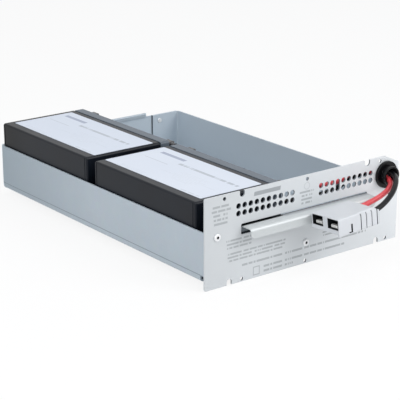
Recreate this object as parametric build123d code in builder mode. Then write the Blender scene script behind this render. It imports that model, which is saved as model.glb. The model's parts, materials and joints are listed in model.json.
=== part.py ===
from build123d import *
import os
from math import cos, radians, sin, tan

os.makedirs("parts", exist_ok=True)

# Sizes in millimetres: X runs across the front, Y from front to rear, Z up.
# The origin is under the middle of the steelwork, level with the panel's lower edge.

# Sheet metal
SHEET = 1.2
BEND_RADIUS = 3.4
PANEL_THICKNESS = 1.5
PANEL_HEIGHT = 80.8
PANEL_DROP = 6.5
PANEL_OVERHANG = 0.9
PANEL_CORNER_RADIUS = 1.5
CORNER_CUT_WIDTH = 17.1
CORNER_CUT_HEIGHT = 8.0
PANEL_ABOVE_WALLS = 30.0
FLANGE_GAP = 0.1
FRONT_FLANGE_WIDTH = 23.5
FLOOR_FLANGE_WIDTH = 157.0
FLOOR_FLANGE_HEIGHT = 31.5
REAR_FLANGE_WIDTH = 34.8
REAR_WALL_INSET = 2.0
CORNER_RELIEF = 2.2
HEM_WIDTH = 133.0
HEM_RISE = 4.2
HEM_THICKNESS = 2.8
HEM_RADIUS = 1.35

# Pull handle, a folded bracket that comes forward through the panel's slot
HANDLE_WIDTH = 142.5
HANDLE_TOP = 50.3
HANDLE_REACH = 12.6
HANDLE_LIP_HEIGHT = 9.0
HANDLE_PLATE_BOTTOM = 10.2
HANDLE_BEND = 3.2
HANDLE_LIP_CORNER = 4.5
SLOT_SIDE_CLEARANCE = 0.9
SLOT_TOP_CLEARANCE = 1.4
SLOT_HEIGHT = 9.4
SLOT_CORNER_RADIUS = 1.2

# Panel openings
VENT_DIAMETER = 5.0
VENT_PITCH = 6.57
VENT_COLUMNS = 10
VENT_ROWS = 2
VENT_BLOCK_X = 45.95
VENT_SHIFT = 0.4
VENT_TOP_DISTANCE = 16.1
LONG_VENT_COLUMN = 3
LONG_VENT_HEIGHT = 11.5
PIN_HOLE_DIAMETER = 3.4
TOP_PIN_HOLES = (-90.0, 0.6, 87.4)
TOP_PIN_EDGE = 3.6
BOTTOM_PIN_HOLES = (-71.2, 0.0, 97.2)
BOTTOM_PIN_EDGE = 2.6
NOTCH_DEPTH = 5.4
TOP_NOTCHES = ((-71.2, 5.3), (71.6, 6.4))
BOTTOM_NOTCHES = ((-84.6, 5.4), (85.4, 5.4))

# Rivets
RIVET_DIAMETER = 3.2
RIVET_FIT = 0.1
RIVET_HEAD_DIAMETER = 6.5
RIVET_HEAD_HEIGHT = 1.6
RIVET_HEAD_ROUND = 0.7
RIVET_PIN_DIAMETER = 2.2
RIVET_PIN_DEPTH = 0.9
RIVET_TAIL_DIAMETER = 5.0
RIVET_TAIL_HEIGHT = 1.0
REAR_RIVET_HEAD_HEIGHT = 0.7
REAR_RIVET_HEAD_ROUND = 0.3
SIDE_RIVET_INSET = 12.8
SIDE_RIVET_DROP = 5.4
CENTRE_RIVET_Z = 19.5
REAR_RIVET_INSET = 25.4
REAR_RIVET_DROP = 6.7

# Cable grommet
GROMMET_EDGE_DISTANCE = 16.5
GROMMET_TOP_DISTANCE = 17.0
GROMMET_NECK_DIAMETER = 19.4
GROMMET_NECK_FIT = 0.2
GROMMET_BASE_DIAMETER = 25.0
GROMMET_BASE_THICKNESS = 3.0
GROMMET_REAR_DIAMETER = 23.0
GROMMET_REAR_THICKNESS = 2.0
GROMMET_LIP_DIAMETER = 18.0
GROMMET_LIP_REACH = 9.0
GROMMET_WAIST_DIAMETER = 15.6
GROMMET_WAIST_WIDTH = 2.0
GROMMET_THROAT_DIAMETER = 10.6
GROMMET_REAR_MOUTH = 13.4
GROMMET_FRONT_MOUTH = 15.0
GROMMET_ROUND = 0.7

# Batteries, lying on one long side with their lids towards +X
BATTERY_LENGTH = 151.0
BATTERY_THICKNESS = 65.0
BATTERY_GAP = 12.3
CASE_HEIGHT = 81.6
CASE_ROUND = 2.5
BASE_ROUND = 1.9
SEAM_WIDTH = 2.0
SEAM_DEPTH = 1.0
LID_HEIGHT = 10.2
LID_ROUND = 1.2
BASE_GROOVE_INSET = 3.6
BASE_GROOVE_WIDTH = 0.9
BASE_GROOVE_DEPTH = 0.4
FRONT_SPACE = 12.4
REAR_CLEARANCE = 0.9
SIDE_CLEARANCE = 1.05
WIRING_BAY_WIDTH = 122.45
TAPE_THICKNESS = 0.5
TAPE_WIDTH = 18.0
TAPE_SIDE_MARGIN = 6.8
TAPE_END_MARGIN = 15.5
LABEL_END_MARGIN = 4.5
LABEL_BASE_MARGIN = 9.4
LABEL_LID_MARGIN = 5.7
LABEL_THICKNESS = 0.3
LABEL_CORNER = 1.5
FRONT_LABEL_SHIFT = 1.1
REAR_LABEL_SHIFT = -2.7
VENT_STRIP_TAB_DISTANCE = 12.7
VENT_STRIP_WIDTH = 24.0
VENT_STRIP_THICKNESS = 0.9
VENT_STRIP_FIT = 0.2
VENT_STRIP_CORNER = 3.0

# Terminals
TAB_WIDTH = 6.35
TAB_THICKNESS = 0.8
TAB_HEIGHT = 8.0
TAB_END_DISTANCE = 10.8
TAB_TOP_DISTANCE = 7.2
TAB_FOOT_WIDTH = 8.0
TAB_FOOT_DEPTH = 4.0
TAB_FOOT_THICKNESS = 0.6
TAB_POCKET_CLEARANCE = 0.5
TAB_POCKET_DEPTH = 2.0
TAB_TIP_CHAMFER = 0.9
RECEPTACLE_WIDTH = 7.8
RECEPTACLE_THICKNESS = 3.4
RECEPTACLE_STANDOFF = 0.9
RECEPTACLE_HEIGHT = 8.6
TAB_FIT = 0.1
BARREL_DIAMETER = 4.4
BARREL_DISTANCE = 6.3
BOOT_WIDTH = 10.4
BOOT_THICKNESS = 7.0
BOOT_STANDOFF = 0.3
BOOT_HEIGHT = 10.0
BOOT_FIT = 0.2
BOOT_ROUND = 1.4
FLAG_BOOT_REACH = 11.0
STRAIGHT_BOOT_REACH = 21.8
BOOT_SLEEVE_DIAMETER = 7.0
SLEEVE_ROUND = 0.8
SLEEVE_SEAT = 2.2

# Two-pole connector, whose mating face looks towards -X
CONNECTOR_LENGTH = 46.5
CONNECTOR_WIDTH = 34.5
CONNECTOR_THICKNESS = 16.0
CONNECTOR_FACE_X = -5.6
CONNECTOR_RISE = 1.3
CONNECTOR_ROLL = 3.8
CONNECTOR_PITCH = 3.6
CONNECTOR_GAP = 0.2
CONNECTOR_EDGE = 1.6
REAR_SLOPE_LENGTH = 5.0
REAR_SLOPE_DROP = 3.0
POLE_SPACING = 19.0
MOUTH_WIDTH = 13.2
MOUTH_HEIGHT = 9.0
MOUTH_TOP_WALL = 0.9
MOUTH_DEPTH = 20.0
KEEL_TOP = 13.4
KEEL_SETBACK = 5.0
KEEL_WALL = 2.2
REAR_BORE_DIAMETER = 10.4
POLE_DEPTH = 6.8
CONTACT_FIT = 0.2
CONTACT_BARREL_LENGTH = 18.0
CONTACT_BARREL_START = 22.0
CONTACT_TIP = 1.5
CONTACT_WIDTH = 8.0
CONTACT_TOP_DEPTH = 6.2
CONTACT_THICKNESS = 2.2
CONTACT_HOOK_LENGTH = 2.4
CONTACT_HOOK_DEPTH = 0.8
CONTACT_TIP_ROUND = 1.0
SPRING_THICKNESS = 0.5
SPRING_WIDTH = 8.0
SPRING_START = 4.0
SPRING_CREST = 11.0
SPRING_END = 18.5
SPRING_LIFT = 0.9
SPRING_RADIUS = 5.0
SPRING_FLOOR_GAP = 0.05
GRIP_GROOVES = (24.8, 31.1, 37.4, 43.6)
GRIP_GROOVE_WIDTH = 1.0
GRIP_GROOVE_DEPTH = 0.9
GRIP_SLOPE_START = 23.0
GRIP_SLOPE_WIDTH = 1.8
GRIP_SLOPE_DROP = 3.0
LATCH_NOTCH_START = 13.8
LATCH_NOTCH_WIDTH = 1.3
LATCH_NOTCH_HEIGHT = 7.4
LATCH_NOTCH_RISE = 1.4
LATCH_FOOT_LENGTH = 2.6
LATCH_FOOT_HEIGHT = 0.8
LATCH_NOTCH_DEPTH = 2.0

# Leads: X from the middle, Y from the panel's front face, Z from the panel's lower edge
LEAD_DIAMETER = 4.8
RUN_SHARE = 0.45
RED_ROUTE = (
    (8.0, 27.1, 66.0),
    (16.0, 27.1, 66.0),
    (24.5, 26.6, 61.8),
    (33.5, 24.4, 58.5),
    (43.0, 21.9, 58.0),
    (52.5, 20.2, 58.8),
    (61.5, 19.5, 60.9),
    (70.0, 19.4, 64.4),
    (78.4, 17.9, 67.3),
    (85.9, 13.3, 67.4),
    (91.1, 5.6, 64.6),
    (92.5, -3.6, 62.1),
    (89.5, -12.0, 60.9),
    (83.1, -18.3, 59.3),
    (74.7, -22.2, 57.0),
    (64.5, -24.0, 54.4),
    (54.8, -23.8, 52.0),
    (47.6, -22.9, 50.0),
    (41.4, -21.7, 48.6),
    (35.2, -21.1, 48.0),
)
BLACK_ROUTE = (
    (-7.5, 308.8, 66.0),
    (-7.5, 296.0, 66.0),
    (-6.9, 279.0, 61.2),
    (-5.9, 262.0, 52.2),
    (-5.1, 245.5, 43.5),
    (-4.4, 228.8, 34.5),
    (-3.6, 211.1, 26.0),
    (-2.4, 192.0, 19.2),
    (-0.4, 172.6, 14.6),
    (3.4, 153.5, 12.6),
    (9.6, 135.0, 13.0),
    (18.0, 117.5, 15.4),
    (28.4, 101.5, 19.4),
    (39.6, 86.9, 24.0),
    (50.6, 73.3, 28.8),
    (61.2, 60.6, 33.4),
    (70.6, 49.2, 38.2),
    (77.0, 41.0, 44.8),
    (81.6, 34.4, 53.4),
    (86.0, 27.2, 60.6),
    (91.0, 18.6, 64.8),
    (94.8, 9.2, 65.6),
    (96.4, -0.4, 65.6),
    (95.3, -9.4, 66.0),
    (90.6, -17.4, 64.8),
    (83.2, -24.6, 62.4),
    (73.5, -31.2, 59.1),
    (62.0, -36.4, 55.5),
    (51.4, -39.3, 52.4),
    (42.4, -40.2, 50.2),
    (35.0, -39.9, 49.2),
)

# Overall layout
BATTERY_DEPTH = CASE_HEIGHT + SEAM_WIDTH + LID_HEIGHT
TRAY_WIDTH = 2 * SHEET + SIDE_CLEARANCE + BATTERY_DEPTH + WIRING_BAY_WIDTH
HALF_TRAY = TRAY_WIDTH / 2
REAR_STACK = 2 * SHEET + FLANGE_GAP
BATTERY_ROW = 2 * BATTERY_LENGTH + BATTERY_GAP
TRAY_DEPTH = 2 * SHEET + FRONT_SPACE + BATTERY_ROW + REAR_CLEARANCE + REAR_STACK
PANEL_WIDTH = TRAY_WIDTH + 2 * PANEL_OVERHANG
PANEL_FRONT_Y = HANDLE_REACH - (HANDLE_REACH + PANEL_THICKNESS + TRAY_DEPTH) / 2
PANEL_BACK_Y = PANEL_FRONT_Y + PANEL_THICKNESS
TRAY_REAR_Y = PANEL_BACK_Y + TRAY_DEPTH
TRAY_BOTTOM_Z = PANEL_DROP
FLOOR_TOP_Z = TRAY_BOTTOM_Z + SHEET
WALL_TOP_Z = PANEL_HEIGHT - PANEL_ABOVE_WALLS
FLANGE_BOTTOM_Z = TRAY_BOTTOM_Z + BEND_RADIUS + CORNER_RELIEF
CHANNEL_FRONT_Y = PANEL_BACK_Y + BEND_RADIUS + CORNER_RELIEF
CHANNEL_REAR_Y = TRAY_REAR_Y - BEND_RADIUS - CORNER_RELIEF
LIP_FRONT_Y = PANEL_FRONT_Y - HANDLE_REACH
HANDLE_PLATE_Y = PANEL_BACK_Y + 2 * SHEET
SLOT_WIDTH = HANDLE_WIDTH + 2 * SLOT_SIDE_CLEARANCE
GROMMET_X = PANEL_WIDTH / 2 - GROMMET_EDGE_DISTANCE
GROMMET_Z = PANEL_HEIGHT - GROMMET_TOP_DISTANCE
VENT_CENTRE_Z = PANEL_HEIGHT - VENT_TOP_DISTANCE
SIDE_RIVET_X = PANEL_WIDTH / 2 - SIDE_RIVET_INSET
SIDE_RIVET_Z = WALL_TOP_Z - SIDE_RIVET_DROP
REAR_RIVET_X = HALF_TRAY - REAR_RIVET_INSET
REAR_RIVET_Z = WALL_TOP_Z - REAR_RIVET_DROP
BATTERY_BASE_X = -HALF_TRAY + SHEET + SIDE_CLEARANCE
BATTERY_BOTTOM_Z = FLOOR_TOP_Z + TAPE_THICKNESS
BATTERY_MIDDLE_Z = BATTERY_BOTTOM_Z + BATTERY_THICKNESS / 2
BATTERY_TOP_Z = BATTERY_BOTTOM_Z + BATTERY_THICKNESS
LID_BACK_X = BATTERY_BASE_X + CASE_HEIGHT + SEAM_WIDTH
LID_FACE_X = LID_BACK_X + LID_HEIGHT
TAB_Z = BATTERY_TOP_Z - TAB_TOP_DISTANCE
FRONT_BATTERY_Y = HANDLE_PLATE_Y + FRONT_SPACE
REAR_BATTERY_Y = FRONT_BATTERY_Y + BATTERY_LENGTH + BATTERY_GAP
LABEL_LENGTH = BATTERY_LENGTH - 2 * LABEL_END_MARGIN
LABEL_WIDTH = CASE_HEIGHT - LABEL_BASE_MARGIN - LABEL_LID_MARGIN
TAPE_LENGTH = BATTERY_LENGTH - 2 * TAPE_END_MARGIN
TAPE_SPACING = CASE_HEIGHT - 2 * TAPE_SIDE_MARGIN - TAPE_WIDTH
VENT_STRIP_LENGTH = BATTERY_LENGTH - 2 * (TAB_END_DISTANCE + VENT_STRIP_TAB_DISTANCE)


def front_plane(y):
    """A plane across the object, seen from the front: X to the right, Z up."""
    return Plane.XZ.offset(-y)


def folded_section(plane, corners, radius):
    """Section of a folded sheet whose outer face runs through the corners."""
    with BuildSketch(plane) as section:
        with BuildLine():
            FilletPolyline(*corners, radius=radius)
            offset(amount=SHEET, side=Side.LEFT)
        make_face()
    return section.sketch


# Tray: one sheet, folded up on four sides
half_rear_wall = HALF_TRAY - REAR_WALL_INSET
side_flange_rear_y = TRAY_REAR_Y - SHEET - FLANGE_GAP
with BuildPart() as tray:
    channel = folded_section(
        front_plane(CHANNEL_REAR_Y),
        (
            (-HALF_TRAY, WALL_TOP_Z),
            (-HALF_TRAY, TRAY_BOTTOM_Z),
            (HALF_TRAY, TRAY_BOTTOM_Z),
            (HALF_TRAY, WALL_TOP_Z),
        ),
        BEND_RADIUS,
    )
    extrude(channel, amount=CHANNEL_REAR_Y - CHANNEL_FRONT_Y)
    floor_flange = folded_section(
        Plane.YZ.offset(-FLOOR_FLANGE_WIDTH / 2),
        (
            (PANEL_BACK_Y, TRAY_BOTTOM_Z + FLOOR_FLANGE_HEIGHT),
            (PANEL_BACK_Y, TRAY_BOTTOM_Z),
            (CHANNEL_FRONT_Y, TRAY_BOTTOM_Z),
        ),
        BEND_RADIUS,
    )
    extrude(floor_flange, amount=FLOOR_FLANGE_WIDTH)
    rear_wall = folded_section(
        Plane.YZ.offset(-half_rear_wall),
        ((CHANNEL_REAR_Y, TRAY_BOTTOM_Z), (TRAY_REAR_Y, TRAY_BOTTOM_Z), (TRAY_REAR_Y, WALL_TOP_Z)),
        BEND_RADIUS,
    )
    extrude(rear_wall, amount=2 * half_rear_wall)
    hem = folded_section(
        Plane.YZ.offset(-HEM_WIDTH / 2),
        (
            (TRAY_REAR_Y, WALL_TOP_Z),
            (TRAY_REAR_Y, WALL_TOP_Z + HEM_RISE),
            (TRAY_REAR_Y - HEM_THICKNESS, WALL_TOP_Z + HEM_RISE),
            (TRAY_REAR_Y - HEM_THICKNESS, WALL_TOP_Z),
        ),
        HEM_RADIUS,
    )
    extrude(hem, amount=HEM_WIDTH)
    front_corner = folded_section(
        Plane.XY.offset(FLANGE_BOTTOM_Z),
        (
            (HALF_TRAY - FRONT_FLANGE_WIDTH, PANEL_BACK_Y),
            (HALF_TRAY, PANEL_BACK_Y),
            (HALF_TRAY, CHANNEL_FRONT_Y),
        ),
        BEND_RADIUS,
    )
    rear_corner = folded_section(
        Plane.XY.offset(FLANGE_BOTTOM_Z),
        (
            (HALF_TRAY, CHANNEL_REAR_Y),
            (HALF_TRAY, side_flange_rear_y),
            (HALF_TRAY - REAR_FLANGE_WIDTH, side_flange_rear_y),
        ),
        BEND_RADIUS,
    )
    for corner in (front_corner, rear_corner):
        side_flange = extrude(corner, amount=WALL_TOP_Z - FLANGE_BOTTOM_Z)
        mirror(side_flange, about=Plane.YZ)
    with BuildSketch(front_plane(TRAY_REAR_Y)):
        with Locations((-REAR_RIVET_X, REAR_RIVET_Z), (REAR_RIVET_X, REAR_RIVET_Z)):
            Circle(RIVET_DIAMETER / 2 + RIVET_FIT)
    extrude(amount=REAR_STACK, mode=Mode.SUBTRACT)
    with BuildSketch(front_plane(PANEL_BACK_Y + SHEET)):
        with Locations((-SIDE_RIVET_X, SIDE_RIVET_Z), (SIDE_RIVET_X, SIDE_RIVET_Z), (0, CENTRE_RIVET_Z)):
            Circle(RIVET_DIAMETER / 2 + RIVET_FIT)
    extrude(amount=SHEET, mode=Mode.SUBTRACT)
tray.part.label = "tray"
export_step(tray.part, "parts/tray.step")

# Front panel: a flat plate with vents, notches, a handle slot and a cable hole
half_panel = PANEL_WIDTH / 2
slot_top = HANDLE_TOP + SLOT_TOP_CLEARANCE
vent_block_xs = (VENT_SHIFT - VENT_BLOCK_X, VENT_SHIFT + VENT_BLOCK_X)
long_vent_x = vent_block_xs[1] + (LONG_VENT_COLUMN - (VENT_COLUMNS - 1) / 2) * VENT_PITCH
with BuildPart() as front_panel:
    with BuildSketch(front_plane(PANEL_BACK_Y)):
        with BuildLine():
            Polyline(
                (-half_panel, 0),
                (half_panel, 0),
                (half_panel, PANEL_HEIGHT - CORNER_CUT_HEIGHT),
                (half_panel - CORNER_CUT_WIDTH, PANEL_HEIGHT),
                (-half_panel, PANEL_HEIGHT),
                close=True,
            )
        make_face()
        fillet(vertices().sort_by(Axis.X)[:2] + vertices().group_by(Axis.Y)[0][-1:], PANEL_CORNER_RADIUS)
        for notch_x, notch_width in TOP_NOTCHES:
            with Locations((notch_x, PANEL_HEIGHT)):
                Rectangle(notch_width, 2 * NOTCH_DEPTH - notch_width, mode=Mode.SUBTRACT)
            with Locations((notch_x, PANEL_HEIGHT - NOTCH_DEPTH + notch_width / 2)):
                Circle(notch_width / 2, mode=Mode.SUBTRACT)
        for notch_x, notch_width in BOTTOM_NOTCHES:
            with Locations((notch_x, 0)):
                Rectangle(notch_width, 2 * NOTCH_DEPTH - notch_width, mode=Mode.SUBTRACT)
            with Locations((notch_x, NOTCH_DEPTH - notch_width / 2)):
                Circle(notch_width / 2, mode=Mode.SUBTRACT)
        with Locations((0, slot_top - SLOT_HEIGHT / 2)):
            RectangleRounded(SLOT_WIDTH, SLOT_HEIGHT, SLOT_CORNER_RADIUS, mode=Mode.SUBTRACT)
        with Locations(*((vent_x, VENT_CENTRE_Z) for vent_x in vent_block_xs)):
            with GridLocations(VENT_PITCH, VENT_PITCH, VENT_COLUMNS, VENT_ROWS):
                Circle(VENT_DIAMETER / 2, mode=Mode.SUBTRACT)
        with Locations((long_vent_x, VENT_CENTRE_Z)):
            SlotOverall(LONG_VENT_HEIGHT, VENT_DIAMETER, rotation=90, mode=Mode.SUBTRACT)
        with Locations(*((x, PANEL_HEIGHT - TOP_PIN_EDGE) for x in TOP_PIN_HOLES)):
            Circle(PIN_HOLE_DIAMETER / 2, mode=Mode.SUBTRACT)
        with Locations(*((x, BOTTOM_PIN_EDGE) for x in BOTTOM_PIN_HOLES)):
            Circle(PIN_HOLE_DIAMETER / 2, mode=Mode.SUBTRACT)
        with Locations((-SIDE_RIVET_X, SIDE_RIVET_Z), (SIDE_RIVET_X, SIDE_RIVET_Z), (0, CENTRE_RIVET_Z)):
            Circle(RIVET_DIAMETER / 2 + RIVET_FIT, mode=Mode.SUBTRACT)
        with Locations((GROMMET_X, GROMMET_Z)):
            Circle(GROMMET_NECK_DIAMETER / 2 + GROMMET_NECK_FIT, mode=Mode.SUBTRACT)
    extrude(amount=PANEL_THICKNESS)
front_panel.part.label = "front_panel"
export_step(front_panel.part, "parts/front_panel.step")

# Pull handle: plate behind the floor flange, shelf through the slot and turned-down lip
with BuildPart() as pull_handle:
    handle_section = folded_section(
        Plane.YZ.offset(-HANDLE_WIDTH / 2),
        (
            (HANDLE_PLATE_Y, HANDLE_PLATE_BOTTOM),
            (HANDLE_PLATE_Y, HANDLE_TOP),
            (LIP_FRONT_Y, HANDLE_TOP),
            (LIP_FRONT_Y, HANDLE_TOP - HANDLE_LIP_HEIGHT),
        ),
        HANDLE_BEND,
    )
    extrude(handle_section, amount=HANDLE_WIDTH)
    lip_ends = edges().filter_by(Axis.Y).group_by(Axis.Y)[0].group_by(Axis.Z)[0]
    fillet(lip_ends, HANDLE_LIP_CORNER)
    with BuildSketch(front_plane(HANDLE_PLATE_Y)):
        with Locations((0, CENTRE_RIVET_Z)):
            Circle(RIVET_DIAMETER / 2 + RIVET_FIT)
    extrude(amount=SHEET, mode=Mode.SUBTRACT)
pull_handle.part.label = "pull_handle"
export_step(pull_handle.part, "parts/pull_handle.step")

# Cable grommet: base and rear flange clamp the panel, a waisted lip guides the leads out
grommet_plane = Plane(origin=(GROMMET_X, PANEL_FRONT_Y, GROMMET_Z), x_dir=(1, 0, 0), z_dir=(0, 0, 1))
grommet_rear = PANEL_THICKNESS + GROMMET_REAR_THICKNESS
with BuildPart() as cable_grommet:
    with BuildSketch(grommet_plane):
        with BuildLine():
            Polyline(
                (GROMMET_REAR_MOUTH / 2, grommet_rear),
                (GROMMET_REAR_DIAMETER / 2, grommet_rear),
                (GROMMET_REAR_DIAMETER / 2, PANEL_THICKNESS),
                (GROMMET_NECK_DIAMETER / 2, PANEL_THICKNESS),
                (GROMMET_NECK_DIAMETER / 2, 0),
                (GROMMET_BASE_DIAMETER / 2, 0),
                (GROMMET_BASE_DIAMETER / 2, -GROMMET_BASE_THICKNESS),
                (GROMMET_WAIST_DIAMETER / 2, -GROMMET_BASE_THICKNESS),
                (GROMMET_WAIST_DIAMETER / 2, -GROMMET_BASE_THICKNESS - GROMMET_WAIST_WIDTH),
                (GROMMET_LIP_DIAMETER / 2, -GROMMET_BASE_THICKNESS - GROMMET_WAIST_WIDTH),
                (GROMMET_LIP_DIAMETER / 2, -GROMMET_LIP_REACH),
                (GROMMET_FRONT_MOUTH / 2, -GROMMET_LIP_REACH),
                (GROMMET_THROAT_DIAMETER / 2, -GROMMET_BASE_THICKNESS),
                (GROMMET_THROAT_DIAMETER / 2, 0),
                close=True,
            )
        make_face()
        waist_x = GROMMET_X + GROMMET_WAIST_DIAMETER / 2 + GROMMET_ROUND
        outer_corners = vertices().filter_by(lambda corner: corner.X > waist_x)
        front_corners = outer_corners.filter_by(lambda corner: corner.Y < PANEL_FRONT_Y - GROMMET_ROUND)
        fillet(front_corners, GROMMET_ROUND)
    revolve(axis=Axis((GROMMET_X, PANEL_FRONT_Y, GROMMET_Z), (0, 1, 0)))
cable_grommet.part.label = "cable_grommet"
export_step(cable_grommet.part, "parts/cable_grommet.step")

# Panel rivets: domed heads on the front, flattened tails behind the last sheet
rivet_stacks = (
    (-SIDE_RIVET_X, SIDE_RIVET_Z, PANEL_THICKNESS + SHEET),
    (0, CENTRE_RIVET_Z, PANEL_THICKNESS + 2 * SHEET),
    (SIDE_RIVET_X, SIDE_RIVET_Z, PANEL_THICKNESS + SHEET),
)
with BuildPart() as panel_rivets:
    for rivet_x, rivet_z, stack in rivet_stacks:
        with BuildSketch(front_plane(PANEL_FRONT_Y)):
            with Locations((rivet_x, rivet_z)):
                Circle(RIVET_HEAD_DIAMETER / 2)
        head = extrude(amount=RIVET_HEAD_HEIGHT)
        fillet(head.faces().sort_by(Axis.Y)[0].edges(), RIVET_HEAD_ROUND)
        with BuildSketch(front_plane(PANEL_FRONT_Y + stack)):
            with Locations((rivet_x, rivet_z)):
                Circle(RIVET_DIAMETER / 2)
        extrude(amount=stack)
        with BuildSketch(front_plane(PANEL_FRONT_Y + stack + RIVET_TAIL_HEIGHT)):
            with Locations((rivet_x, rivet_z)):
                Circle(RIVET_TAIL_DIAMETER / 2)
        extrude(amount=RIVET_TAIL_HEIGHT)
        with BuildSketch(front_plane(PANEL_FRONT_Y - RIVET_HEAD_HEIGHT + RIVET_PIN_DEPTH)):
            with Locations((rivet_x, rivet_z)):
                Circle(RIVET_PIN_DIAMETER / 2)
        extrude(amount=RIVET_PIN_DEPTH, mode=Mode.SUBTRACT)
panel_rivets.part.label = "panel_rivets"
export_step(panel_rivets.part, "parts/panel_rivets.step")

# Rear rivets: heads inside the tray, shanks flush with the rear wall
with BuildPart() as rear_rivets:
    for rivet_x in (-REAR_RIVET_X, REAR_RIVET_X):
        with BuildSketch(front_plane(TRAY_REAR_Y)):
            with Locations((rivet_x, REAR_RIVET_Z)):
                Circle(RIVET_DIAMETER / 2)
        extrude(amount=REAR_STACK)
        with BuildSketch(front_plane(TRAY_REAR_Y - REAR_STACK)):
            with Locations((rivet_x, REAR_RIVET_Z)):
                Circle(RIVET_TAIL_DIAMETER / 2)
        rear_head = extrude(amount=REAR_RIVET_HEAD_HEIGHT)
        fillet(rear_head.faces().sort_by(Axis.Y)[0].edges(), REAR_RIVET_HEAD_ROUND)
rear_rivets.part.label = "rear_rivets"
export_step(rear_rivets.part, "parts/rear_rivets.step")

# Double-sided tape between the floor and the batteries
case_middle_x = BATTERY_BASE_X + CASE_HEIGHT / 2
with BuildPart() as mounting_tape:
    for battery_y in (FRONT_BATTERY_Y, REAR_BATTERY_Y):
        with BuildSketch(Plane.XY.offset(FLOOR_TOP_Z)):
            with Locations((case_middle_x, battery_y + BATTERY_LENGTH / 2)):
                with GridLocations(TAPE_SPACING, 0, 2, 1):
                    Rectangle(TAPE_WIDTH, TAPE_LENGTH)
        extrude(amount=TAPE_THICKNESS)
mounting_tape.part.label = "mounting_tape"
export_step(mounting_tape.part, "parts/mounting_tape.step")

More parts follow.
